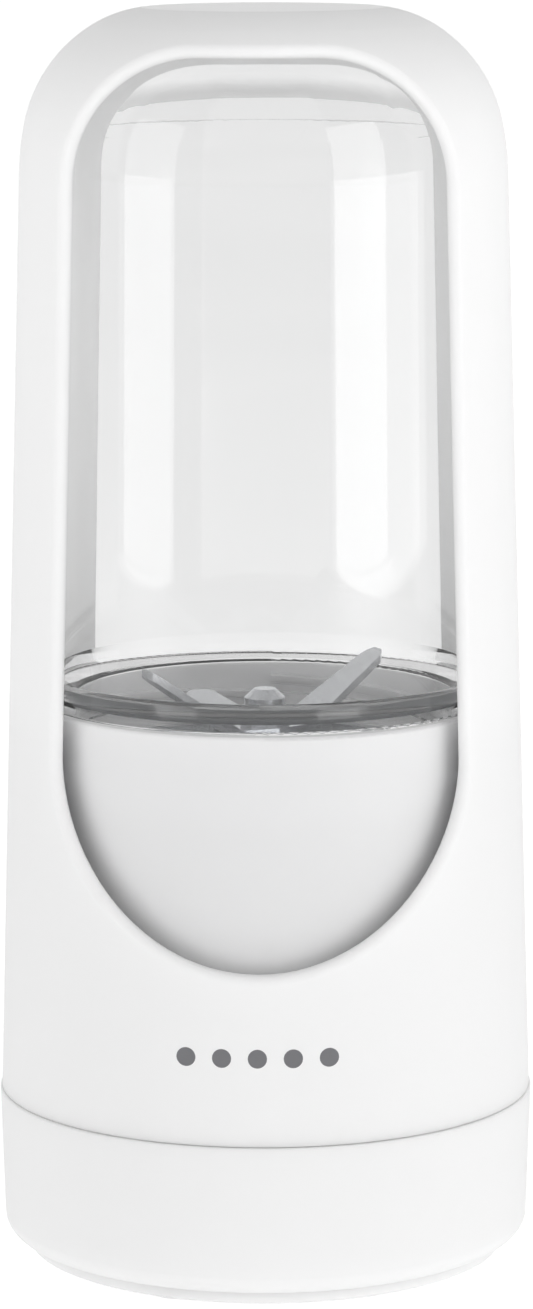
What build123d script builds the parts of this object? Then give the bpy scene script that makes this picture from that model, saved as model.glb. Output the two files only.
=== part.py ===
"""Cordless personal blender: a clear jar stands upside down on a motor base, under a windowed sleeve.

Millimetres. +Z is up, the origin is the centre of the underside, and the windows face -Y and +Y.
The power button and the charging port are on the +Y side of the foot.
"""

from build123d import *
import math
import os

# Overall sizes
FOOT_TOP = 26.8
FOOT_R = 43.6
SEAM = 0.15
HOUSING_R = 37.0
WALL = 2.4
RIM_Z = 91.0

# Sleeve: where its outline changes curvature, as radius, height and steepness in degrees
SLEEVE_WALL = 2.6
SLEEVE_FOOT = (43.3, FOOT_TOP + SEAM)
SHOULDER = (39.05, 176.0, 88.4)
HIP = (38.2, 183.6, 78.9)
CROWN = (27.25, 199.25, 31.2)
CAP = (19.0, 202.0, 5.7)

# Window through the front and the back of the sleeve
WINDOW_LOW_R = 31.3
WINDOW_LOW_Z = 85.1
WINDOW_HIGH_X = 28.6
WINDOW_TOP_Z = 195.2
WINDOW_CORNER = 20.0
WINDOW_EDGE = 1.2

# Guide ring inside the sleeve's lower edge, and the magnets that hold the sleeve down
RING_INNER = HOUSING_R + 0.6
RING_OUTER = 40.5
RING_LOW = FOOT_TOP + 0.05
RING_TOP = 33.4
MAGNET_PITCH_R = 39.05
MAGNET_SIZE = (1.5, 6.0)
MAGNET_FIT = 0.1
SLEEVE_MAGNET_LOW = RING_LOW + 0.8
SLEEVE_MAGNET_HEIGHT = 3.0
BASE_MAGNET_HEIGHT = 1.6

# Jar
JAR_GAP = 0.8
JAR_WALL = 2.2
NECK_Z = 81.2
NECK_R = 33.2
NECK_BORE = 31.0
THROAT_LOW = RIM_Z + 1.0
THROAT_TOP = RIM_Z + 4.7
RIM_FILLET = 0.6

# Four-start thread between the jar's neck and the collar of the housing
LEAD = 12.0
STARTS = 4
THREAD_Z = 83.6
THREAD_WIDTH = 1.1
THREAD_ROOT = 0.4
NECK_CREST = 34.4
COLLAR_CREST = 33.6

# Housing
COLLAR_R = 34.7
COLLAR_TOP = RIM_Z - 0.3
BULKHEAD_LOW = 76.6
BULKHEAD_TOP = 79.0
SEAL_HOLE = 5.2
GROOVE_OUTER = 33.75
GROOVE_INNER = 31.3
LIP_INNER = 30.6
LIP_TOP = 80.6
BOSS_PITCH_R = 32.2
BOSS_R = 3.0
BOSS_HEIGHT = 13.4
BOSS_START = 45.0
PILOT_R = 1.05

# Foot, bottom plate and pad
DECK_LOW = 24.2
FOOT_LOW_R = 42.85
FOOT_CORNER = 3.0
FOOT_RIM = 0.35
FLOOR_INNER = 32.5
FLOOR_TOP = 5.2
PLATE_R = 39.1
PLATE_LOW = 0.3
PLATE_TOP = 2.5
PLATE_RIM = 0.45
SPIGOT_INNER = 30.4
SPIGOT_OUTER = 32.2
SPIGOT_TOP = 5.0
PLATE_SCREW_PITCH_R = 36.0
PLATE_SCREW_START = 22.5
PLATE_BOSS_R = 3.2
PLATE_BOSS_HEIGHT = 10.3
PAD_INNER = 26.0
PAD_OUTER = 33.0
PAD_TOP = 1.3
RAIL_LOW = 14.0

# Control board and charging socket
BOARD_LOW = 6.6
BOARD_TOP = 8.2
BOARD_R = 30.0
BOARD_SCREW_PITCH_R = 22.0
BOARD_SCREW_START = 30.0
SOCKET_Z = 9.85
SOCKET_BACK = 33.6
SOCKET_WALL = 0.3

# Charging port flap
FLAP_HALF = 6.7
FLAP_LOW = 6.9
FLAP_TOP = 12.3
FLAP_Z = (FLAP_LOW + FLAP_TOP) / 2
FLAP_BACK = 41.45
FLAP_GAP = 0.35
PORT_BACK = 41.1

# Power button
BUTTON_Z = 18.4
BUTTON_R = 4.0
BUTTON_FACE = 43.2
FLANGE_FACE = 40.1
SWITCH_FACE = 36.2
FLANGE = 0.8
STEM = 0.7
SWITCH_BOARD_FACE = 32.9
SWITCH_BOARD = (20.0, 10.4, 1.2)
WALL_INSIDE = 38.0
PLUNGER_BACK = 34.9
LAMP_X = 7.4
LAMP_HOLE_R = 1.0

# Motor
MOTOR_R = 13.85
MOTOR_LOW = 37.0
MOTOR_TOP = 75.0
MOTOR_SCREW_PITCH_R = 8.0
CAN_WALL = 1.0
CAN_END = 1.2
BEARING_R = 3.0
BEARING_HOUSING_R = 5.0
END_CAP_LOW = 34.0
COMMUTATOR_LOW = 39.8
COMMUTATOR_R = 3.6
COMMUTATOR_LENGTH = 3.6
BRUSH_WIDTH = 2.4
TERMINAL_LOW = 30.0
TERMINAL_X = 8.0
WIRE_R = 0.7
WIRE_BEND = 2.5
SHAFT_R = 1.585
BUSHING_BORE = SHAFT_R + 0.045
SHAFT_LOW = 33.0
SHAFT_TOP = 90.5
ARMATURE_R = 10.5
ARMATURE_Z = 48.0
ARMATURE_LENGTH = 16.0
SLOTS = 5
SLOT_PITCH_R = 6.8
WINDING_OVERHANG = 3.0

# Blades
HUB_LOW = 81.4
BLADE_Z = 84.0
BLADE_THICKNESS = 1.2
BLADE_FIT = 0.02
DISH_R = 30.4
DISH_THICKNESS = 0.8
SEAL_FIT = 0.055

# Battery cells
CELL_R = 9.2
CELL_X = 24.3
CELL_LOW = 11.0
CELL_LENGTH = 65.0
CELL_CONTACT = 0.8
TAB = 0.2
CRADLE_LOW = 44.0
CRADLE_HEIGHT = 18.0
CRADLE_FIT = 0.08


def turned(*points):
    """Solid of revolution about the vertical axis, from (radius, height) corners."""
    with BuildPart() as body:
        with BuildSketch(Plane.XZ):
            Polygon(*points, align=None)
        revolve(axis=Axis.Z)
    return body.part


def ring(inner, outer, low, high):
    """Plain ring or tube."""
    return turned((inner, low), (outer, low), (outer, high), (inner, high))


def inset(point, depth):
    """The outline point moved inwards, square to the outline."""
    radius, height, steepness = point
    angle = math.radians(steepness)
    return (radius - depth * math.sin(angle), height - depth * math.cos(angle))


def domed(depth, *base):
    """Solid under the sleeve's outline moved inwards by depth; base holds the points below its shoulder."""
    shoulder, hip, crown, cap = [inset(point, depth) for point in (SHOULDER, HIP, CROWN, CAP)]
    with BuildPart() as body:
        with BuildSketch(Plane.XZ):
            with BuildLine():
                Polyline((0, base[0][1]), *base)
                wall = Line(base[-1], shoulder)
                side_bend = TangentArc(shoulder, hip, tangent=wall % 1)
                top_bend = TangentArc(hip, crown, tangent=side_bend % 1)
                TangentArc(crown, cap, tangent=top_bend % 1)
                Polyline(cap, (0, cap[1]), (0, base[0][1]))
            make_face()
        revolve(axis=Axis.Z)
    return body.part


def thread_ridge(root, crest, low):
    """One start of the thread, a quarter turn long, between two radii."""
    half = THREAD_WIDTH / 2
    slope = 0.3
    middle = (root + crest) / 2
    with BuildPart() as ridge:
        with BuildLine():
            path = Helix(pitch=LEAD, height=LEAD / STARTS, radius=middle, center=(0, 0, low))
        with BuildSketch(Plane(origin=path @ 0, x_dir=(1, 0, 0), z_dir=path % 0)):
            reach = (crest - root) / 2
            Polygon(
                (-reach, -half - slope),
                (reach, -half),
                (reach, half),
                (-reach, half + slope),
                align=None,
            )
        sweep(path=path, is_frenet=True)
    return ridge.part


def screw(head_r, head_height, shank_r, length, countersunk):
    """Cross-head screw pointing up, with the underside of its head's rim, or its flat face, at the origin."""
    slot_width = 0.5
    slot_depth = 0.7
    with BuildPart() as body:
        face = 0 if countersunk else -head_height
        rim = 0.2 if countersunk else 0
        neck = head_height if countersunk else 0
        add(
            turned(
                (0, face),
                (head_r, face),
                (head_r, rim),
                (shank_r, neck),
                (shank_r, length),
                (0, length),
            )
        )
        with BuildSketch(Plane.XY.offset(face)):
            Rectangle(head_r, slot_width)
            Rectangle(slot_width, head_r)
        extrude(amount=slot_depth, mode=Mode.SUBTRACT)
    return body.part


def save(part, name):
    """Label the finished piece and write its file."""
    part.label = name
    export_step(part, f"parts/{name}.step")


os.makedirs("parts", exist_ok=True)

# ---- Sleeve: one moulding, open below, with a tall window front and back ----
with BuildPart() as sleeve:
    add(domed(0, SLEEVE_FOOT))
    with BuildSketch(Plane.XZ) as window:
        with BuildLine():
            left_low = (-WINDOW_LOW_R, WINDOW_LOW_Z)
            right_low = (WINDOW_LOW_R, WINDOW_LOW_Z)
            RadiusArc(left_low, right_low, -WINDOW_LOW_R)
            Polyline(
                right_low,
                (WINDOW_HIGH_X, WINDOW_TOP_Z),
                (-WINDOW_HIGH_X, WINDOW_TOP_Z),
                left_low,
            )
        make_face()
        fillet(window.vertices().group_by(Axis.Y)[-1], WINDOW_CORNER)
    extrude(amount=FOOT_R * 2, both=True, mode=Mode.SUBTRACT)
    fillet(sleeve.edges(Select.NEW).filter_by(Axis.Y, reverse=True), WINDOW_EDGE)
    add(
        domed(SLEEVE_WALL, (SLEEVE_FOOT[0] - SLEEVE_WALL, SLEEVE_FOOT[1])),
        mode=Mode.SUBTRACT,
    )
save(sleeve.part, "sleeve")

# Ring inside the sleeve's lower edge: it slides down the housing and carries the magnets
with BuildPart() as sleeve_guide_ring:
    add(ring(RING_INNER, RING_OUTER, RING_LOW, RING_TOP))
    with BuildSketch(Plane.XY.offset(SLEEVE_MAGNET_LOW)):
        with PolarLocations(MAGNET_PITCH_R, 4):
            Rectangle(MAGNET_SIZE[0] + MAGNET_FIT, MAGNET_SIZE[1] + MAGNET_FIT)
    extrude(amount=RING_TOP - SLEEVE_MAGNET_LOW, mode=Mode.SUBTRACT)
save(sleeve_guide_ring.part, "sleeve_guide_ring")

with BuildPart() as sleeve_magnets:
    with BuildSketch(Plane.XY.offset(SLEEVE_MAGNET_LOW)):
        with PolarLocations(MAGNET_PITCH_R, 4):
            Rectangle(*MAGNET_SIZE)
    extrude(amount=SLEEVE_MAGNET_HEIGHT)
save(sleeve_magnets.part, "sleeve_magnets")

# ---- Jar: clear, domed, with its mouth and threaded neck at the bottom ----
with BuildPart() as jar:
    add(domed(SLEEVE_WALL + JAR_GAP, (HOUSING_R, RIM_Z)))
    fillet(jar.edges().filter_by(GeomType.CIRCLE).sort_by(Axis.Z)[0], RIM_FILLET)
    add(ring(NECK_BORE, NECK_R, NECK_Z, RIM_Z + JAR_WALL))
    with PolarLocations(0, STARTS):
        add(thread_ridge(NECK_R - THREAD_ROOT, NECK_CREST, THREAD_Z))
    add(
        domed(
            SLEEVE_WALL + JAR_GAP + JAR_WALL,
            (NECK_BORE, NECK_Z),
            (NECK_BORE, THROAT_LOW),
            (HOUSING_R - JAR_WALL - 0.1, THROAT_TOP),
        ),
        mode=Mode.SUBTRACT,
    )
save(jar.part, "jar")

# Silicone ring that the neck presses on; it turns in its groove with the jar
with BuildPart() as jar_gasket:
    add(ring(GROOVE_INNER + 0.06, GROOVE_OUTER - 0.06, BULKHEAD_TOP + 0.05, NECK_Z - 0.1))
    fillet(jar_gasket.edges().group_by(Axis.Z)[-1], 0.4)
save(jar_gasket.part, "jar_gasket")

# ---- Motor housing: a tube with a bulkhead, a threaded collar above it and screw bosses below ----
with BuildPart() as motor_housing:
    add(
        turned(
            (HOUSING_R - WALL, FOOT_TOP),
            (HOUSING_R, FOOT_TOP),
            (HOUSING_R, COLLAR_TOP),
            (COLLAR_R, COLLAR_TOP),
            (COLLAR_R, NECK_Z - 0.2),
            (GROOVE_OUTER, NECK_Z - 0.2),
            (GROOVE_OUTER, BULKHEAD_TOP),
            (GROOVE_INNER, BULKHEAD_TOP),
            (GROOVE_INNER, LIP_TOP),
            (LIP_INNER, LIP_TOP),
            (LIP_INNER, BULKHEAD_TOP),
            (SEAL_HOLE, BULKHEAD_TOP),
            (SEAL_HOLE, BULKHEAD_LOW),
            (HOUSING_R - WALL, BULKHEAD_LOW),
        )
    )
    collar_rims = motor_housing.edges().filter_by(GeomType.CIRCLE).group_by(Axis.Z)[-1]
    fillet(collar_rims.sort_by(SortBy.RADIUS)[-1], 0.5)
    with BuildSketch(Plane.XY.offset(FOOT_TOP)):
        with PolarLocations(BOSS_PITCH_R, 4, start_angle=BOSS_START):
            Circle(BOSS_R)
    extrude(amount=BOSS_HEIGHT)
    with BuildSketch(Plane.XY.offset(FOOT_TOP)):
        with PolarLocations(BOSS_PITCH_R, 4, start_angle=BOSS_START):
            Circle(PILOT_R)
    extrude(amount=BOSS_HEIGHT - 2.4, mode=Mode.SUBTRACT)
    with Locations(Plane.XY.offset(BULKHEAD_TOP)):
        with PolarLocations(MOTOR_SCREW_PITCH_R, 2):
            CounterSinkHole(radius=1.4, counter_sink_radius=2.6, depth=WALL)
    with PolarLocations(0, STARTS):
        add(thread_ridge(COLLAR_R + THREAD_ROOT, COLLAR_CREST, THREAD_Z + LEAD / STARTS / 2))
save(motor_housing.part, "motor_housing")

with BuildPart() as housing_screws:
    with Locations(Plane.XY.offset(DECK_LOW)):
        with PolarLocations(BOSS_PITCH_R, 4, start_angle=BOSS_START):
            add(screw(2.2, 1.6, 1.0, 12, False))
save(housing_screws.part, "housing_screws")

# ---- Foot: outer wall, floor ring and deck in one moulding ----
with BuildPart() as foot_shell:
    add(
        turned(
            (FLOOR_INNER, PLATE_TOP),
            (FOOT_LOW_R, PLATE_TOP),
            (FOOT_R, FOOT_TOP),
            (HOUSING_R - WALL, FOOT_TOP),
            (HOUSING_R - WALL, DECK_LOW),
            (FOOT_R - WALL, DECK_LOW),
            (FOOT_LOW_R - WALL, FLOOR_TOP),
            (FLOOR_INNER, FLOOR_TOP),
        )
    )
    rims = foot_shell.edges().filter_by(GeomType.CIRCLE)
    fillet(rims.group_by(Axis.Z)[0].sort_by(SortBy.RADIUS)[-1], FOOT_CORNER)
    fillet(rims.group_by(Axis.Z)[-1].sort_by(SortBy.RADIUS)[-1], FOOT_RIM)
    with BuildSketch(Plane.XY.offset(DECK_LOW)):
        with PolarLocations(BOSS_PITCH_R, 4, start_angle=BOSS_START):
            Circle(BOSS_R + 0.5)
    extrude(amount=FOOT_TOP - DECK_LOW)
    with BuildSketch(Plane.XY.offset(DECK_LOW)):
        with PolarLocations(BOSS_PITCH_R, 4, start_angle=BOSS_START):
            Circle(1.3)
    extrude(amount=FOOT_TOP - DECK_LOW, mode=Mode.SUBTRACT)
    # Bosses for the plate's screws
    with BuildSketch(Plane.XY.offset(PLATE_TOP)):
        with PolarLocations(PLATE_SCREW_PITCH_R, 4, start_angle=-PLATE_SCREW_START):
            Circle(PLATE_BOSS_R)
    extrude(amount=PLATE_BOSS_HEIGHT)
    with BuildSketch(Plane.XY.offset(PLATE_TOP)):
        with PolarLocations(PLATE_SCREW_PITCH_R, 4, start_angle=-PLATE_SCREW_START):
            Circle(PILOT_R)
    extrude(amount=PLATE_BOSS_HEIGHT - 1, mode=Mode.SUBTRACT)
    # Pockets under the deck for the magnets
    with BuildSketch(Plane.XY.offset(DECK_LOW)):
        with PolarLocations(MAGNET_PITCH_R, 3, start_angle=180):
            Rectangle(MAGNET_SIZE[0] + MAGNET_FIT, MAGNET_SIZE[1] + MAGNET_FIT)
    extrude(amount=BASE_MAGNET_HEIGHT + MAGNET_FIT, mode=Mode.SUBTRACT)
    # Rails for the switch board
    with BuildSketch(Plane.XY.offset(RAIL_LOW)):
        with Locations((10.9, 34.5), (-10.9, 34.5)):
            Rectangle(1.6, 7)
    extrude(amount=DECK_LOW + 0.2 - RAIL_LOW)
    # Bore for the button, hole for the lamp
    with BuildSketch(Plane.XZ.offset(-WALL_INSIDE)):
        with Locations((0, BUTTON_Z)):
            Circle(BUTTON_R + 0.35)
        with Locations((LAMP_X, BUTTON_Z)):
            Circle(LAMP_HOLE_R)
    extrude(amount=-10, mode=Mode.SUBTRACT)
    # Recess for the flap and slot for the charging socket
    with BuildSketch(Plane.XZ.offset(-PORT_BACK)):
        with Locations((0, FLAP_Z)):
            Rectangle(2 * (FLAP_HALF + FLAP_GAP), FLAP_TOP - FLAP_LOW + 2 * FLAP_GAP)
    extrude(amount=-10, mode=Mode.SUBTRACT)
    with BuildSketch(Plane.XZ.offset(-WALL_INSIDE)):
        with Locations((0, SOCKET_Z)):
            SlotOverall(9.6, 3.9)
    extrude(amount=-10, mode=Mode.SUBTRACT)
save(foot_shell.part, "foot_shell")

with BuildPart() as base_magnets:
    with BuildSketch(Plane.XY.offset(DECK_LOW)):
        with PolarLocations(MAGNET_PITCH_R, 3, start_angle=180):
            Rectangle(*MAGNET_SIZE)
    extrude(amount=BASE_MAGNET_HEIGHT)
save(base_magnets.part, "base_magnets")

# ---- Bottom plate with its screws and the silicone pad ring ----
with BuildPart() as bottom_plate:
    add(
        turned(
            (0, PLATE_LOW),
            (PAD_INNER - 0.1, PLATE_LOW),
            (PAD_INNER - 0.1, PAD_TOP),
            (PAD_OUTER + 0.1, PAD_TOP),
            (PAD_OUTER + 0.1, PLATE_LOW),
            (PLATE_R, PLATE_LOW),
            (PLATE_R, PLATE_TOP),
            (SPIGOT_OUTER, PLATE_TOP),
            (SPIGOT_OUTER, SPIGOT_TOP),
            (SPIGOT_INNER, SPIGOT_TOP),
            (SPIGOT_INNER, PLATE_TOP),
            (0, PLATE_TOP),
        )
    )
    plate_rims = bottom_plate.edges().filter_by(GeomType.CIRCLE).sort_by(SortBy.RADIUS)[-2:]
    fillet(plate_rims.sort_by(Axis.Z)[0], PLATE_RIM)
    with BuildSketch(Plane.XY.offset(PLATE_TOP)):
        with PolarLocations(BOARD_SCREW_PITCH_R, 3, start_angle=BOARD_SCREW_START):
            Circle(2.6)
    extrude(amount=BOARD_LOW - PLATE_TOP)
    with BuildSketch(Plane.XY.offset(PLATE_TOP)):
        with PolarLocations(BOARD_SCREW_PITCH_R, 3, start_angle=BOARD_SCREW_START):
            Circle(0.85)
    extrude(amount=BOARD_LOW - PLATE_TOP, mode=Mode.SUBTRACT)
    with Locations(Plane((0, 0, PLATE_LOW), x_dir=(1, 0, 0), z_dir=(0, 0, -1))):
        with PolarLocations(PLATE_SCREW_PITCH_R, 4, start_angle=PLATE_SCREW_START):
            CounterSinkHole(radius=1.3, counter_sink_radius=2.5, depth=PLATE_TOP - PLATE_LOW)
save(bottom_plate.part, "bottom_plate")

with BuildPart() as bottom_screws:
    with Locations(Plane.XY.offset(PLATE_LOW)):
        with PolarLocations(PLATE_SCREW_PITCH_R, 4, start_angle=-PLATE_SCREW_START):
            add(screw(2.2, 1.6, 1.0, 9, True))
save(bottom_screws.part, "bottom_screws")

with BuildPart() as foot_pad:
    add(ring(PAD_INNER, PAD_OUTER, 0, PAD_TOP))
    fillet(foot_pad.edges().group_by(Axis.Z)[0], 0.2)
save(foot_pad.part, "foot_pad")

# ---- Charging port ----
with BuildPart() as usb_socket:
    with BuildSketch(Plane.XZ.offset(-SOCKET_BACK)):
        with Locations((0, SOCKET_Z)):
            SlotOverall(9.0, 3.3)
    extrude(amount=-7.3)
    with BuildSketch(Plane.XZ.offset(-SOCKET_BACK - 1)):
        with Locations((0, SOCKET_Z)):
            SlotOverall(9.0 - 2 * SOCKET_WALL, 3.3 - 2 * SOCKET_WALL)
    extrude(amount=-7, mode=Mode.SUBTRACT)
    with BuildSketch(Plane.XZ.offset(-SOCKET_BACK - 0.8)):
        with Locations((0, SOCKET_Z)):
            Rectangle(6.7, 0.7)
    extrude(amount=-5.6)
save(usb_socket.part, "usb_socket")

with BuildPart() as port_flap:
    with BuildSketch(Plane.XZ.offset(-FLAP_BACK)):
        with Locations((0, FLAP_Z)):
            RectangleRounded(2 * FLAP_HALF, FLAP_TOP - FLAP_LOW, 0.5)
    extrude(amount=-4)
    add(ring(0, FOOT_LOW_R, 0, FOOT_TOP), mode=Mode.INTERSECT)
save(port_flap.part, "port_flap")

# ---- Power button, its switch and the lamp beside it ----
with BuildPart() as power_button:
    with BuildSketch(Plane.XZ.offset(-FLANGE_FACE)):
        with Locations((0, BUTTON_Z)):
            Circle(BUTTON_R)
    extrude(amount=FLANGE_FACE - BUTTON_FACE)
    fillet(power_button.edges().sort_by(Axis.Y)[-1], 0.5)
    with BuildSketch(Plane.XZ.offset(FLANGE - FLANGE_FACE)):
        with Locations((0, BUTTON_Z)):
            Circle(BUTTON_R + 1)
    extrude(amount=-FLANGE)
    with BuildSketch(Plane.XZ.offset(-SWITCH_FACE - STEM)):
        with Locations((0, BUTTON_Z)):
            Circle(1.6)
    extrude(amount=SWITCH_FACE + STEM + FLANGE - FLANGE_FACE)
save(power_button.part, "power_button")

with BuildPart() as switch_plunger:
    with BuildSketch(Plane.XZ.offset(-PLUNGER_BACK)):
        with Locations((0, BUTTON_Z)):
            Circle(1.17)
    extrude(amount=PLUNGER_BACK - SWITCH_FACE - STEM)
save(switch_plunger.part, "switch_plunger")

with BuildPart() as power_switch:
    with BuildSketch(Plane.XZ.offset(-SWITCH_BOARD_FACE)):
        with Locations((0, BUTTON_Z)):
            Rectangle(6, 6)
    extrude(amount=SWITCH_BOARD_FACE - SWITCH_FACE)
    with BuildSketch(Plane.XZ.offset(0.9 - PLUNGER_BACK)):
        with Locations((0, BUTTON_Z)):
            Circle(1.25)
    extrude(amount=-5, mode=Mode.SUBTRACT)
save(power_switch.part, "power_switch")

with BuildPart() as switch_board:
    width, height, thickness = SWITCH_BOARD
    with BuildSketch(Plane.XZ.offset(thickness - SWITCH_BOARD_FACE)):
        with Locations((0, BUTTON_Z)):
            Rectangle(width, height)
    extrude(amount=-thickness)
save(switch_board.part, "switch_board")

with BuildPart() as status_lamp:
    with BuildSketch(Plane.XZ.offset(-SWITCH_BOARD_FACE)):
        with Locations((LAMP_X, BUTTON_Z)):
            Rectangle(2.0, 2.0)
    extrude(amount=-1.2)
save(status_lamp.part, "status_lamp")

with BuildPart() as light_guide:
    with BuildSketch(Plane.XZ.offset(-SWITCH_BOARD_FACE - 1.4)):
        with Locations((LAMP_X, BUTTON_Z)):
            Circle(LAMP_HOLE_R - 0.05)
    extrude(amount=-8.3)
save(light_guide.part, "light_guide")

# ---- Control board ----
with BuildPart() as control_board:
    with BuildSketch(Plane.XY.offset(BOARD_LOW)):
        Circle(BOARD_R)
        with Locations((0, 26)):
            Rectangle(20, 20.6)
        with PolarLocations(BOARD_SCREW_PITCH_R, 3, start_angle=BOARD_SCREW_START):
            Circle(1.1, mode=Mode.SUBTRACT)
    extrude(amount=BOARD_TOP - BOARD_LOW)
save(control_board.part, "control_board")

with BuildPart() as board_screws:
    with Locations(Plane((0, 0, BOARD_TOP), x_dir=(1, 0, 0), z_dir=(0, 0, -1))):
        with PolarLocations(BOARD_SCREW_PITCH_R, 3, start_angle=-BOARD_SCREW_START):
            add(screw(1.8, 1.2, 0.8, 4.6, False))
save(board_screws.part, "board_screws")

# Coil, capacitors, power transistors, chips and plugs on the board: centre, footprint and height
BOARD_BLOCKS = [
    ((-7, -6), (8, 8), 4.0),
    ((6, -9), (5, 6), 1.2),
    ((6, -17), (5, 6), 1.2),
    ((-6, -17), (6, 6), 0.9),
    ((9, 3), (8, 5), 6.0),
    ((-9, 6), (8, 5), 6.0),
]
with BuildPart() as board_parts:
    for centre, footprint, height in BOARD_BLOCKS:
        with BuildSketch(Plane.XY.offset(BOARD_TOP)):
            with Locations(centre):
                Rectangle(*footprint)
        extrude(amount=height)
    with BuildSketch(Plane.XY.offset(BOARD_TOP)):
        with Locations((0, 13), (0, 5)):
            Circle(3.2)
    extrude(amount=2.2)
save(board_parts.part, "board_parts")

with BuildPart() as hall_sensor:
    with BuildSketch(Plane.XY.offset(DECK_LOW - 1.5)):
        with Locations((14, 36)):
            Rectangle(4, 3)
    extrude(amount=1.5)
save(hall_sensor.part, "hall_sensor")

# ---- Battery: two cells in series, beside the motor ----
def battery_cell(upright):
    """One cylindrical cell with its raised contact; it stands on its flat end when upright."""
    upwards = (Align.CENTER, Align.CENTER, Align.MIN)
    with BuildPart() as cell:
        Cylinder(CELL_R, CELL_LENGTH - CELL_CONTACT, align=upwards)
        fillet(cell.edges().filter_by(GeomType.CIRCLE), 0.6)
        with Locations((0, 0, CELL_LENGTH - CELL_CONTACT)):
            Cylinder(2.8, CELL_CONTACT, align=upwards)
    return cell.part if upright else Pos(0, 0, CELL_LENGTH) * Rot(180, 0, 0) * cell.part


with BuildPart() as battery_cells:
    with Locations((-CELL_X, 0, CELL_LOW)):
        add(battery_cell(True))
    with Locations((CELL_X, 0, CELL_LOW)):
        add(battery_cell(False))
save(battery_cells.part, "battery_cells")

with BuildPart() as battery_tabs:
    with BuildSketch(Plane.XY.offset(CELL_LOW + CELL_LENGTH)):
        Circle(CELL_X + 2.5)
        Circle(CELL_X - 2.5, mode=Mode.SUBTRACT)
        with Locations((0, 20)):
            Rectangle(60, 42, mode=Mode.INTERSECT)
    extrude(amount=TAB)
    for side in (-1, 1):
        with BuildSketch(Plane.XY.offset(CELL_LOW - TAB)):
            with Locations((side * CELL_X, 0)):
                Rectangle(6, 8)
        extrude(amount=TAB)
        with BuildSketch(Plane.XY.offset(BOARD_TOP)):
            with Locations((side * CELL_X, TAB / 2 - 4)):
                Rectangle(6, TAB)
        extrude(amount=CELL_LOW - TAB - BOARD_TOP)
save(battery_tabs.part, "battery_tabs")

with BuildPart() as battery_cradle:
    with BuildSketch(Plane.XY.offset(CRADLE_LOW)):
        Circle(HOUSING_R - WALL - 0.2)
        Rectangle(80, 33, mode=Mode.INTERSECT)
        Circle(MOTOR_R + CRADLE_FIT, mode=Mode.SUBTRACT)
        with Locations((-CELL_X, 0), (CELL_X, 0)):
            Circle(CELL_R + CRADLE_FIT, mode=Mode.SUBTRACT)
    extrude(amount=CRADLE_HEIGHT)
save(battery_cradle.part, "battery_cradle")

# ---- Motor: everything that stays still ----
with BuildPart() as motor_can:
    add(
        turned(
            (MOTOR_R - CAN_WALL, MOTOR_LOW),
            (MOTOR_R, MOTOR_LOW),
            (MOTOR_R, MOTOR_TOP),
            (BEARING_HOUSING_R, MOTOR_TOP),
            (BEARING_HOUSING_R, MOTOR_TOP + 2),
            (BEARING_R, MOTOR_TOP + 2),
            (BEARING_R, MOTOR_TOP - CAN_END),
            (MOTOR_R - CAN_WALL, MOTOR_TOP - CAN_END),
        )
    )
    with Locations(Plane.XY.offset(MOTOR_TOP)):
        with PolarLocations(MOTOR_SCREW_PITCH_R, 2):
            Hole(1.25, depth=3)
save(motor_can.part, "motor_can")

with BuildPart() as motor_damper:
    add(ring(SEAL_HOLE, 13, MOTOR_TOP, BULKHEAD_LOW))
    with Locations(Plane.XY.offset(BULKHEAD_LOW)):
        with PolarLocations(MOTOR_SCREW_PITCH_R, 2):
            Hole(1.6)
save(motor_damper.part, "motor_damper")

with BuildPart() as motor_screws:
    with Locations(Plane((0, 0, BULKHEAD_TOP), x_dir=(1, 0, 0), z_dir=(0, 0, -1))):
        with PolarLocations(MOTOR_SCREW_PITCH_R, 2):
            add(screw(2.4, 1.3, 1.2, 7, True))
save(motor_screws.part, "motor_screws")

with BuildPart() as motor_magnets:
    with BuildSketch(Plane.XY.offset(ARMATURE_Z - 7)):
        Circle(MOTOR_R - CAN_WALL - 0.05)
        Circle(ARMATURE_R + 0.5, mode=Mode.SUBTRACT)
        Rectangle(40, 10, mode=Mode.SUBTRACT)
    extrude(amount=ARMATURE_LENGTH + 14)
save(motor_magnets.part, "motor_magnets")

with BuildPart() as motor_end_cap:
    add(
        turned(
            (BEARING_R, END_CAP_LOW - 1.6),
            (4.6, END_CAP_LOW - 1.6),
            (4.6, END_CAP_LOW),
            (MOTOR_R, END_CAP_LOW),
            (MOTOR_R, MOTOR_LOW),
            (MOTOR_R - CAN_WALL - 0.1, MOTOR_LOW),
            (MOTOR_R - CAN_WALL - 0.1, MOTOR_LOW + 2),
            (11.2, MOTOR_LOW + 2),
            (11.2, MOTOR_LOW),
            (2.2, MOTOR_LOW),
            (2.2, MOTOR_LOW - 1),
            (BEARING_R, MOTOR_LOW - 1),
        )
    )
save(motor_end_cap.part, "motor_end_cap")

with BuildPart() as motor_bushings:
    add(ring(BUSHING_BORE, BEARING_R - 0.02, MOTOR_TOP - CAN_END, MOTOR_TOP + 1.8))
    add(ring(BUSHING_BORE, BEARING_R - 0.02, END_CAP_LOW - 1.2, MOTOR_LOW - 1))
save(motor_bushings.part, "motor_bushings")

with BuildPart() as motor_brushes:
    with BuildSketch(Plane.XY.offset(COMMUTATOR_LOW + 0.6)):
        with Locations((5.4, 0), (-5.4, 0)):
            Rectangle(3.5, BRUSH_WIDTH)
    extrude(amount=BRUSH_WIDTH)
save(motor_brushes.part, "motor_brushes")

with BuildPart() as brush_arms:
    with BuildSketch(Plane.XY.offset(MOTOR_LOW)):
        with Locations((7.35, 0), (-7.35, 0)):
            Rectangle(0.4, BRUSH_WIDTH)
    extrude(amount=6)
save(brush_arms.part, "brush_arms")

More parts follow.
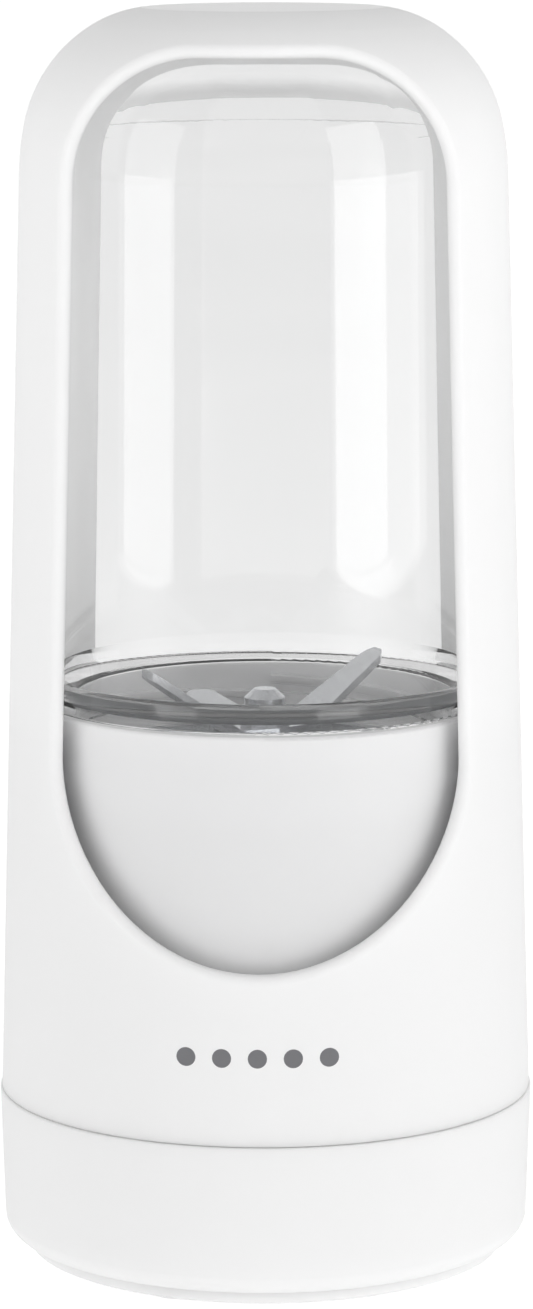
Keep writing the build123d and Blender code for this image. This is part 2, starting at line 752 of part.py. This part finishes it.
with BuildPart() as motor_terminals:
    with BuildSketch(Plane.XY.offset(TERMINAL_LOW)):
        with Locations((TERMINAL_X, 0), (-TERMINAL_X, 0)):
            Rectangle(0.5, BRUSH_WIDTH)
    extrude(amount=END_CAP_LOW - TERMINAL_LOW)
save(motor_terminals.part, "motor_terminals")


def motor_lead(side, plug_x, plug_y):
    """Insulated wire from a motor terminal down to its plug on the control board."""
    with BuildPart() as wire:
        with BuildLine():
            route = FilletPolyline(
                (side * TERMINAL_X, 0, TERMINAL_LOW),
                (side * TERMINAL_X, 0, TERMINAL_LOW - 6),
                (side * plug_x, plug_y, TERMINAL_LOW - 10),
                (side * plug_x, plug_y, BOARD_TOP + 6),
                radius=WIRE_BEND,
            )
        with BuildSketch(Plane(origin=route @ 0, z_dir=route % 0)):
            Circle(WIRE_R)
        sweep()
    return wire.part


with BuildPart() as motor_leads:
    add(motor_lead(1, 10.5, 3))
    add(motor_lead(-1, 10.5, 6))
save(motor_leads.part, "motor_leads")

with BuildPart() as balance_lead:
    with BuildSketch(Plane.XY.offset(BOARD_TOP)):
        with Locations((0, CELL_X)):
            Circle(0.6)
    extrude(amount=CELL_LOW + CELL_LENGTH - BOARD_TOP)
save(balance_lead.part, "balance_lead")

with BuildPart() as switch_ribbon:
    with BuildSketch(Plane.XY.offset(BOARD_TOP)):
        with Locations((0, 32.3)):
            Rectangle(6, 0.4)
    extrude(amount=BUTTON_Z - 5.2 - BOARD_TOP)
save(switch_ribbon.part, "switch_ribbon")

# ---- Everything that spins ----
with BuildPart() as motor_shaft:
    add(turned((0, SHAFT_LOW), (SHAFT_R, SHAFT_LOW), (SHAFT_R, SHAFT_TOP), (0, SHAFT_TOP)))
    chamfer(motor_shaft.edges().filter_by(GeomType.CIRCLE), 0.3)
save(motor_shaft.part, "motor_shaft")

with BuildPart() as armature_core:
    with BuildSketch(Plane.XY.offset(ARMATURE_Z)):
        Circle(ARMATURE_R)
        Circle(SHAFT_R, mode=Mode.SUBTRACT)
        with PolarLocations(SLOT_PITCH_R, SLOTS):
            RectangleRounded(4.4, 4.0, 0.8, mode=Mode.SUBTRACT)
        with PolarLocations(9.6, SLOTS):
            Rectangle(3, 1.2, mode=Mode.SUBTRACT)
    extrude(amount=ARMATURE_LENGTH)
save(armature_core.part, "armature_core")

with BuildPart() as armature_windings:
    with BuildSketch(Plane.XY.offset(ARMATURE_Z)):
        with PolarLocations(SLOT_PITCH_R, SLOTS):
            RectangleRounded(4.2, 3.8, 0.7)
    extrude(amount=ARMATURE_LENGTH)
    for low in (ARMATURE_Z - WINDING_OVERHANG, ARMATURE_Z + ARMATURE_LENGTH):
        add(ring(4.6, 9.2, low, low + WINDING_OVERHANG))
    coil_rims = armature_windings.edges().filter_by(GeomType.CIRCLE).group_by(Axis.Z)
    fillet(coil_rims[-1] + coil_rims[0], 0.8)
save(armature_windings.part, "armature_windings")

with BuildPart() as commutator:
    add(ring(SHAFT_R, COMMUTATOR_R, COMMUTATOR_LOW, COMMUTATOR_LOW + COMMUTATOR_LENGTH))
    with BuildSketch(Plane.XY.offset(COMMUTATOR_LOW)):
        with PolarLocations(COMMUTATOR_R - 0.2, SLOTS):
            Rectangle(1.0, 0.4)
    extrude(amount=COMMUTATOR_LENGTH, mode=Mode.SUBTRACT)
save(commutator.part, "commutator")

with BuildPart() as blade_hub:
    add(ring(SHAFT_R, 4.2, HUB_LOW, BLADE_Z))
    hub_rims = blade_hub.edges().filter_by(GeomType.CIRCLE).group_by(Axis.Z)[0]
    chamfer(hub_rims.sort_by(SortBy.RADIUS)[-1], 0.5)
save(blade_hub.part, "blade_hub")


def blade(low, reach, rise, turn):
    """Two-armed blade with bent, tapering arms whose leading edges are ground."""
    flat = 6.5
    tip = low + rise
    root_half = 5
    with BuildPart() as strip:
        with BuildSketch(Plane.XZ):
            with BuildLine():
                Polyline(
                    (-reach, tip),
                    (-flat, low),
                    (flat, low),
                    (reach, tip),
                    (reach, tip + BLADE_THICKNESS * 1.15),
                    (flat - 0.3, low + BLADE_THICKNESS),
                    (-flat + 0.3, low + BLADE_THICKNESS),
                    (-reach, tip + BLADE_THICKNESS * 1.15),
                    close=True,
                )
            make_face()
        extrude(amount=10, both=True)
        with BuildSketch() as outline:
            with BuildLine():
                Polyline((0, -root_half), (reach - 1, -2.2))
                ThreePointArc((reach - 1, -2.2), (reach + 0.2, 0.4), (reach - 3, 3.4))
                Polyline((reach - 3, 3.4), (7, root_half), (0, root_half))
                mirror(about=Plane.YZ)
            make_face()
        extrude(amount=SHAFT_TOP + rise, mode=Mode.INTERSECT)
        with BuildSketch():
            Circle(SHAFT_R + BLADE_FIT)
        extrude(amount=SHAFT_TOP + rise, mode=Mode.SUBTRACT)
    return Rot(0, 0, turn) * strip.part


with BuildPart() as lower_blade:
    add(blade(BLADE_Z, 23.5, 3.0, 120))
save(lower_blade.part, "lower_blade")

with BuildPart() as upper_blade:
    add(blade(BLADE_Z + BLADE_THICKNESS, 21.5, 10.5, 30))
save(upper_blade.part, "upper_blade")

with BuildPart() as blade_nut:
    nut_low = BLADE_Z + 2 * BLADE_THICKNESS
    dome_low = nut_low + 3
    with BuildSketch(Plane.XY.offset(nut_low)):
        RegularPolygon(4.0, 6)
    extrude(amount=dome_low - nut_low)
    add(
        turned(
            (0, dome_low),
            (3.3, dome_low),
            (3.3, dome_low + 1.4),
            (1.8, dome_low + 2.8),
            (0, dome_low + 2.8),
        )
    )
    with BuildSketch(Plane.XY.offset(nut_low)):
        Circle(SHAFT_R)
    extrude(amount=SHAFT_TOP - nut_low + 0.1, mode=Mode.SUBTRACT)
save(blade_nut.part, "blade_nut")

# ---- Steel dish over the bulkhead, with the seal round the shaft ----
with BuildPart() as blade_seat:
    add(
        turned(
            (SEAL_HOLE, BULKHEAD_TOP),
            (DISH_R, BULKHEAD_TOP),
            (DISH_R, NECK_Z),
            (DISH_R - DISH_THICKNESS, NECK_Z),
            (DISH_R - DISH_THICKNESS, BULKHEAD_TOP + DISH_THICKNESS),
            (SEAL_HOLE, BULKHEAD_TOP + DISH_THICKNESS),
        )
    )
save(blade_seat.part, "blade_seat")

with BuildPart() as shaft_seal:
    add(
        turned(
            (SHAFT_R + SEAL_FIT, MOTOR_TOP + 2.1),
            (SEAL_HOLE - 0.05, MOTOR_TOP + 2.1),
            (SEAL_HOLE - 0.05, BULKHEAD_TOP + DISH_THICKNESS),
            (7, BULKHEAD_TOP + DISH_THICKNESS),
            (7, HUB_LOW - 1),
            (3.4, HUB_LOW - 0.4),
            (SHAFT_R + SEAL_FIT, HUB_LOW - 0.4),
        )
    )
save(shaft_seal.part, "shaft_seal")
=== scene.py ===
"""Looks of the cordless blender: node materials, a pale studio and the photograph's camera."""
import bpy
import math
from mathutils import Matrix, Vector


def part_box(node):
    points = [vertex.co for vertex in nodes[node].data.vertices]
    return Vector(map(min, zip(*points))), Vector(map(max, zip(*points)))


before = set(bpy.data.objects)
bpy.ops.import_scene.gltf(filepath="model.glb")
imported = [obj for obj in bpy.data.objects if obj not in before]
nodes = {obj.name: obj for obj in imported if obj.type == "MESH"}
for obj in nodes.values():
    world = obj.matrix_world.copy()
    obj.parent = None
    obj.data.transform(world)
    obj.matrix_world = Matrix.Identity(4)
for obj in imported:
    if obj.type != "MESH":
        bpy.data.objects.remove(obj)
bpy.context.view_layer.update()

# ---------------------------------------------------------------- node helpers


def new_material(name):
    """A material with an empty node tree but for its Principled shader and output."""
    material = bpy.data.materials.new(name)
    material.use_nodes = True
    tree = material.node_tree
    tree.nodes.clear()
    output = tree.nodes.new("ShaderNodeOutputMaterial")
    shader = tree.nodes.new("ShaderNodeBsdfPrincipled")
    tree.links.new(shader.outputs["BSDF"], output.inputs["Surface"])
    return material, tree, shader


def position(tree):
    """Coordinates fixed to the object: its own place in metres."""
    return tree.nodes.new("ShaderNodeTexCoord").outputs["Object"]


def noise(tree, scale, detail=3.0, stretch=(1, 1, 1), roughness=0.5):
    """Noise of the given scale per metre, stretched along the axes."""
    mapping = tree.nodes.new("ShaderNodeMapping")
    mapping.inputs["Scale"].default_value = stretch
    tree.links.new(position(tree), mapping.inputs["Vector"])
    texture = tree.nodes.new("ShaderNodeTexNoise")
    texture.inputs["Scale"].default_value = scale
    texture.inputs["Detail"].default_value = detail
    texture.inputs["Roughness"].default_value = roughness
    tree.links.new(mapping.outputs["Vector"], texture.inputs["Vector"])
    return texture.outputs["Fac"]


def spread(tree, value, low, high):
    """The value, 0 to 1, spread between low and high."""
    node = tree.nodes.new("ShaderNodeMapRange")
    node.inputs["To Min"].default_value = low
    node.inputs["To Max"].default_value = high
    tree.links.new(value, node.inputs["Value"])
    return node.outputs["Result"]


def ramp(tree, value, stops):
    """Colour ramp; stops are (place, (r, g, b))."""
    node = tree.nodes.new("ShaderNodeValToRGB")
    elements = node.color_ramp.elements
    while len(elements) < len(stops):
        elements.new(0.5)
    for element, (place, colour) in zip(elements, stops):
        element.position = place
        element.color = (*colour, 1)
    tree.links.new(value, node.inputs["Fac"])
    return node.outputs["Color"]


def bump(tree, shader, height, strength, distance):
    """Small relief from a height value."""
    node = tree.nodes.new("ShaderNodeBump")
    node.inputs["Strength"].default_value = strength
    node.inputs["Distance"].default_value = distance
    tree.links.new(height, node.inputs["Height"])
    tree.links.new(node.outputs["Normal"], shader.inputs["Normal"])


def math_node(tree, operation, first, second=None):
    """One arithmetic step; each operand is a socket or a number."""
    node = tree.nodes.new("ShaderNodeMath")
    node.operation = operation
    for socket, operand in zip(node.inputs, (first, second)):
        if operand is None:
            continue
        if isinstance(operand, (int, float)):
            socket.default_value = operand
        else:
            tree.links.new(operand, socket)
    return node.outputs["Value"]


def mix_colour(tree, factor, first, second):
    """Colour between first, a socket, and second, a plain colour."""
    node = tree.nodes.new("ShaderNodeMix")
    node.data_type = "RGBA"
    tree.links.new(factor, node.inputs["Factor"])
    tree.links.new(first, node.inputs["A"])
    node.inputs["B"].default_value = (*second, 1)
    return node.outputs["Result"]


def shade(colour, factor):
    """The colour made lighter or darker."""
    return tuple(min(1.0, channel * factor) for channel in colour)


def colour_from(tree, shader, value, *stops):
    """Base colour from a value, through a colour ramp."""
    colours = ramp(tree, value, stops)
    tree.links.new(colours, shader.inputs["Base Color"])
    return colours


def roughness_from(tree, shader, value, low, high):
    """Roughness from a value, spread between low and high."""
    roughness = spread(tree, value, low, high)
    tree.links.new(roughness, shader.inputs["Roughness"])
    return roughness


# ---------------------------------------------------------------- materials

PLASTIC_IOR = 1.5
GLASS_IOR = 1.47
# How far light spreads inside the white plastic, in metres
GLOW_DEPTH = 0.004


def moulded_plastic(name, colour, gloss, glow=0.0, shine=0.5):
    """Injection-moulded plastic: fine eroded texture, faint flow marks, slightly uneven gloss.

    Returns the material, its tree and shader, and the sockets of its colour and roughness.
    """
    material, tree, shader = new_material(name)
    flow_marks = noise(tree, scale=14, detail=2.0, stretch=(1, 1, 0.3))
    colours = colour_from(tree, shader, flow_marks, (0.3, shade(colour, 0.985)), (0.7, colour))
    wear = noise(tree, scale=60, detail=4.0)
    roughness = roughness_from(tree, shader, wear, gloss - 0.02, gloss + 0.04)
    bump(tree, shader, noise(tree, scale=1800, detail=2.0), strength=0.12, distance=0.00002)
    shader.inputs["IOR"].default_value = PLASTIC_IOR
    shader.inputs["Specular IOR Level"].default_value = shine
    shader.inputs["Subsurface Weight"].default_value = glow
    shader.inputs["Subsurface Radius"].default_value = (1.0, 1.0, 1.0)
    shader.inputs["Subsurface Scale"].default_value = GLOW_DEPTH
    return material, tree, shader, colours, roughness


def printed_plastic(name, colour, gloss, ink, mark, disc):
    """Moulded plastic with a row of printed dots on its front, and a slightly smoother flat top
    whose colour is painted lighter as a painted highlight.
    """
    material, tree, shader, colours, roughness = moulded_plastic(name, colour, gloss, glow=0.5)
    place = tree.nodes.new("ShaderNodeSeparateXYZ")
    tree.links.new(position(tree), place.inputs["Vector"])
    x, y, z = place.outputs["X"], place.outputs["Y"], place.outputs["Z"]

    # Square of the distance from the middle of the nearest dot. The row is cut into cells one
    # pitch wide, counted from past the left side, where MODULO meets no negative number.
    pitch, half_row = mark["pitch"], mark["pitch"] * mark["count"] / 2
    from_left = math_node(tree, "ADD", x, half_row + pitch * mark["cells_left_of_row"])
    across = math_node(tree, "SUBTRACT", math_node(tree, "MODULO", from_left, pitch), pitch / 2)
    up = math_node(tree, "SUBTRACT", z, mark["height"])
    across_squared = math_node(tree, "MULTIPLY", across, across)
    up_squared = math_node(tree, "MULTIPLY", up, up)
    distance_squared = math_node(tree, "ADD", across_squared, up_squared)

    in_dot = math_node(tree, "LESS_THAN", distance_squared, mark["radius"] ** 2)
    in_row = math_node(tree, "LESS_THAN", math_node(tree, "ABSOLUTE", x), half_row)
    on_front = math_node(tree, "LESS_THAN", y, 0.0)
    inked = math_node(tree, "MULTIPLY", math_node(tree, "MULTIPLY", in_dot, in_row), on_front)
    printed = mix_colour(tree, inked, colours, ink)

    # The flat top's colour is painted lighter, a painted highlight; its lower roughness is real.
    on_disc = math_node(tree, "GREATER_THAN", z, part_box("sleeve")[1].z - disc["margin"])
    printed_with_painted_top_highlight = mix_colour(tree, on_disc, printed, shade(colour, disc["lighter"]))
    tree.links.new(printed_with_painted_top_highlight, shader.inputs["Base Color"])
    smoothing = math_node(tree, "MULTIPLY", on_disc, disc["smoother"])
    smoothed = math_node(tree, "SUBTRACT", roughness, smoothing)
    tree.links.new(smoothed, shader.inputs["Roughness"])
    return material


def clear_jar(name):
    """Clear glass, faintly wavy from moulding. Shadow and diffuse rays pass straight through."""
    material, tree, shader = new_material(name)
    path = tree.nodes.new("ShaderNodeLightPath").outputs
    passing = tree.nodes.new("ShaderNodeBsdfTransparent")
    mixed = tree.nodes.new("ShaderNodeMixShader")
    passes = math_node(tree, "MAXIMUM", path["Is Shadow Ray"], path["Is Diffuse Ray"])
    tree.links.new(passes, mixed.inputs["Fac"])
    tree.links.new(shader.outputs["BSDF"], mixed.inputs[1])
    tree.links.new(passing.outputs["BSDF"], mixed.inputs[2])
    tree.links.new(mixed.outputs["Shader"], tree.nodes["Material Output"].inputs["Surface"])
    shader.inputs["Base Color"].default_value = (0.992, 0.993, 0.993, 1)
    shader.inputs["Transmission Weight"].default_value = 1.0
    shader.inputs["IOR"].default_value = GLASS_IOR
    roughness_from(tree, shader, noise(tree, scale=40, detail=2.0), 0.0, 0.02)
    waves = noise(tree, scale=45, detail=2.0, stretch=(1, 1, 0.5))
    bump(tree, shader, waves, strength=0.05, distance=0.0004)
    return material


def silicone(name, colour):
    """Matte silicone with a dusty, slightly soft surface."""
    material, tree, shader = new_material(name)
    dust = noise(tree, scale=90, detail=4.0)
    colour_from(tree, shader, dust, (0.3, shade(colour, 0.94)), (0.7, colour))
    roughness_from(tree, shader, noise(tree, scale=300, detail=3.0), 0.6, 0.75)
    shader.inputs["Subsurface Weight"].default_value = 0.1
    shader.inputs["Subsurface Radius"].default_value = (0.001, 0.001, 0.001)
    bump(tree, shader, noise(tree, scale=2500, detail=2.0), strength=0.2, distance=0.00002)
    return material


def brushed_metal(name, colour, gloss, stretch):
    """Metal with fine scratches along one direction."""
    material, tree, shader = new_material(name)
    scratches = noise(tree, scale=900, detail=4.0, stretch=stretch, roughness=0.65)
    dark, light = shade(colour, 0.86), shade(colour, 1.05)
    colour_from(tree, shader, scratches, (0.25, dark), (0.75, light))
    shader.inputs["Metallic"].default_value = 1.0
    roughness_from(tree, shader, scratches, gloss - 0.06, gloss + 0.1)
    bump(tree, shader, scratches, strength=0.25, distance=0.00001)
    return material


def cast_material(name, colour, gloss):
    """Sintered or painted dark surface with visible grain."""
    material, tree, shader = new_material(name)
    grain = noise(tree, scale=1200, detail=5.0)
    colour_from(tree, shader, grain, (0.35, shade(colour, 0.7)), (0.7, colour))
    roughness_from(tree, shader, grain, gloss - 0.05, gloss + 0.1)
    bump(tree, shader, grain, strength=0.3, distance=0.00004)
    return material


def wound_copper(name, colour):
    """Enamelled wire: fine parallel turns."""
    material, tree, shader = new_material(name)
    wave = tree.nodes.new("ShaderNodeTexWave")
    wave.bands_direction = "Z"
    wave.inputs["Scale"].default_value = 420
    wave.inputs["Distortion"].default_value = 1.5
    tree.links.new(position(tree), wave.inputs["Vector"])
    turns = wave.outputs["Fac"]
    colour_from(tree, shader, turns, (0.1, shade(colour, 0.45)), (0.6, colour))
    shader.inputs["Metallic"].default_value = 0.8
    roughness_from(tree, shader, noise(tree, scale=500), 0.25, 0.4)
    bump(tree, shader, turns, strength=0.6, distance=0.0002)
    return material


def circuit_board(name, colour):
    """Solder mask over copper tracks."""
    material, tree, shader = new_material(name)
    cells = tree.nodes.new("ShaderNodeTexVoronoi")
    cells.distance = "MANHATTAN"
    cells.feature = "F1"
    cells.inputs["Scale"].default_value = 260
    tree.links.new(position(tree), cells.inputs["Vector"])
    tracks = cells.outputs["Distance"]
    colour_from(tree, shader, tracks, (0.35, shade(colour, 1.6)), (0.5, colour))
    roughness_from(tree, shader, noise(tree, scale=200), 0.25, 0.4)
    bump(tree, shader, tracks, strength=0.15, distance=0.00005)
    return material


WHITE = (0.86, 0.86, 0.86)
# The housing's white is darker than the sleeve's: painted shade of its recess behind the window.
HOUSING_WHITE_PAINTED_SHADE = (0.775, 0.775, 0.78)
INK = (0.17, 0.17, 0.18)
SATIN = 0.44
MARK = {
    "pitch": 0.0056,
    "count": 5,
    "radius": 0.0015,
    "height": 0.041,
    "cells_left_of_row": 10,
}
# Flat top of the sleeve: margin below its top, factor of its painted highlight, and how much
# smoother it is
DISC = {"margin": 0.00005, "lighter": 1.09, "smoother": 0.12}

sleeve_white = printed_plastic("sleeve_white", WHITE, SATIN, INK, MARK, DISC)
foot_white = moulded_plastic("foot_white", WHITE, SATIN, glow=0.5)[0]
# Housing: its darker white is painted shade of its recess
housing_white = moulded_plastic("housing_white", HOUSING_WHITE_PAINTED_SHADE, 0.2, glow=0.9, shine=1.0)[0]
ring_plastic = moulded_plastic("ring_plastic", (0.7, 0.7, 0.7), 0.5)[0]
dark_plastic = moulded_plastic("dark_plastic", (0.03, 0.03, 0.033), 0.45)[0]
carbon = cast_material("carbon", (0.02, 0.02, 0.02), 0.5)
jar_clear = clear_jar("jar_clear")
lamp_clear = clear_jar("lamp_clear")
silicone_white = silicone("silicone_white", (0.74, 0.74, 0.74))
silicone_grey = silicone("silicone_grey", (0.3, 0.31, 0.32))
blade_steel = brushed_metal("blade_steel", (0.62, 0.63, 0.65), 0.22, (1, 0.08, 1))
dish_steel = brushed_metal("dish_steel", (0.6, 0.61, 0.62), 0.2, (1, 1, 1))
shaft_steel = brushed_metal("shaft_steel", (0.5, 0.5, 0.51), 0.3, (1, 1, 0.05))
screw_steel = brushed_metal("screw_steel", (0.55, 0.56, 0.58), 0.3, (1, 1, 0.3))
magnet_nickel = brushed_metal("magnet_nickel", (0.68, 0.66, 0.62), 0.15, (1, 1, 1))
magnet_ferrite = cast_material("magnet_ferrite", (0.05, 0.05, 0.055), 0.5)
copper = wound_copper("copper", (0.7, 0.28, 0.12))
bronze = brushed_metal("bronze", (0.7, 0.5, 0.25), 0.35, (1, 1, 0.2))
cell_wrap = moulded_plastic("cell_wrap", (0.03, 0.16, 0.25), 0.25)[0]
board_green = circuit_board("board_green", (0.01, 0.12, 0.05))
wire_red = silicone("wire_red", (0.45, 0.02, 0.02))

LOOKS = {
    sleeve_white: ["sleeve"],
    foot_white: ["foot_shell", "bottom_plate", "power_button"],
    housing_white: ["motor_housing"],
    ring_plastic: ["sleeve_guide_ring"],
    dark_plastic: [
        "battery_cradle",
        "motor_end_cap",
        "power_switch",
        "hall_sensor",
        "board_parts",
        "switch_plunger",
    ],
    carbon: ["motor_brushes"],
    jar_clear: ["jar"],
    lamp_clear: ["light_guide", "status_lamp"],
    silicone_white: ["port_flap", "foot_pad"],
    silicone_grey: ["jar_gasket", "shaft_seal", "motor_damper"],
    blade_steel: ["lower_blade", "upper_blade", "blade_hub", "blade_nut"],
    dish_steel: ["blade_seat", "usb_socket"],
    shaft_steel: ["motor_shaft", "motor_can", "armature_core"],
    screw_steel: ["housing_screws", "bottom_screws", "board_screws", "motor_screws"],
    magnet_nickel: ["sleeve_magnets", "base_magnets"],
    magnet_ferrite: ["motor_magnets"],
    copper: ["armature_windings", "commutator"],
    bronze: ["motor_bushings", "brush_arms", "motor_terminals", "battery_tabs"],
    cell_wrap: ["battery_cells"],
    board_green: ["control_board", "switch_board"],
    wire_red: ["motor_leads", "balance_lead", "switch_ribbon"],
}
for material, names in LOOKS.items():
    for name in names:
        for slot in nodes[name].material_slots:
            slot.material = material

# ---------------------------------------------------------------- studio

FLOOR_SIZE = 30.0
# Glow of the floor as it lights the object, and as the camera sees it
FLOOR_LIGHT = 0.27
FLOOR_SEEN = 0.52

bpy.ops.mesh.primitive_plane_add(size=FLOOR_SIZE, location=(0, 0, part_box("foot_pad")[0].z))
floor = bpy.context.object
floor.name = "studio_floor"
floor_material, floor_tree, floor_shader = new_material("studio_floor")
clouds = noise(floor_tree, scale=3, detail=2.0)
colour_from(floor_tree, floor_shader, clouds, (0.3, (0.9, 0.9, 0.9)), (0.7, (0.93, 0.93, 0.93)))
floor_shader.inputs["Roughness"].default_value = 0.9
floor_shader.inputs["Specular IOR Level"].default_value = 0.1
floor_shader.inputs["Emission Color"].default_value = (1, 1, 1, 1)
camera_ray = floor_tree.nodes.new("ShaderNodeLightPath").outputs["Is Camera Ray"]
floor_glow = spread(floor_tree, camera_ray, FLOOR_LIGHT, FLOOR_SEEN)
floor_tree.links.new(floor_glow, floor_shader.inputs["Emission Strength"])
floor.data.materials.append(floor_material)

# Sky by height: grey below the horizon, white just above it, greyer overhead
SKY = [(0.0, (0.7, 0.7, 0.7)), (0.03, (1, 1, 1)), (0.9, (0.53, 0.53, 0.53))]
SKY_STRENGTH = 0.89

world = bpy.data.worlds.new("studio")
bpy.context.scene.world = world
world.use_nodes = True
sky_tree = world.node_tree
backdrop = sky_tree.nodes["Background"]
view = sky_tree.nodes.new("ShaderNodeTexCoord").outputs["Generated"]
direction = sky_tree.nodes.new("ShaderNodeSeparateXYZ")
sky_tree.links.new(view, direction.inputs["Vector"])
sky_tree.links.new(ramp(sky_tree, direction.outputs["Z"], SKY), backdrop.inputs["Color"])
backdrop.inputs["Strength"].default_value = SKY_STRENGTH

# Name, place, width and height in metres, power in watts, and what shows the light. The flat top
# would mirror a tall light in views from the far side, so the gloss gets low cards of its own.
SOFTBOXES = [
    ("key_right", (0.75, -0.55, 0.25), (0.5, 0.9), 3.5, "diffuse"),
    ("fill_left", (-0.8, -0.45, 0.25), (0.5, 0.9), 2.2, "diffuse"),
    ("card_right", (0.8, -0.4, 0.1), (0.9, 0.2), 0.72, "gloss"),
    ("card_left", (-0.8, -0.45, 0.1), (0.5, 0.2), 0.32, "gloss"),
]
AIM = Vector((0, 0, 0.1))

for name, place, size, power, shown_by in SOFTBOXES:
    light = bpy.data.lights.new(name, "AREA")
    light.shape = "RECTANGLE"
    light.size, light.size_y = size
    light.energy = power
    lamp = bpy.data.objects.new(name, light)
    bpy.context.scene.collection.objects.link(lamp)
    lamp.location = place
    lamp.rotation_euler = (AIM - Vector(place)).to_track_quat("-Z", "Y").to_euler()
    lamp.visible_diffuse = shown_by == "diffuse"
    lamp.visible_glossy = shown_by == "gloss"

# ---------------------------------------------------------------- camera

# Lens and sensor in millimetres, distance and height in metres, shift in frame heights
FOCAL_LENGTH = 136.4
SENSOR_WIDTH = 36
SHIFT = 1.9 / 1309
TURN = math.radians(1.7)
TILT = math.radians(9.6)
ROLL = math.radians(-0.13)
DISTANCE = 0.7937
HEIGHT = 0.2319

camera_data = bpy.data.cameras.new("camera")
camera_data.lens = FOCAL_LENGTH
camera_data.sensor_width = SENSOR_WIDTH
camera_data.shift_x = SHIFT
camera = bpy.data.objects.new("camera", camera_data)
bpy.context.scene.collection.objects.link(camera)
camera.location = (DISTANCE * math.sin(TURN), -DISTANCE * math.cos(TURN), HEIGHT)
aim = Matrix.Rotation(TURN, 4, "Z") @ Matrix.Rotation(math.pi / 2 - TILT, 4, "X")
camera.rotation_euler = (aim @ Matrix.Rotation(ROLL, 4, "Z")).to_euler()
bpy.context.scene.camera = camera
bpy.context.scene.view_settings.view_transform = "Standard"
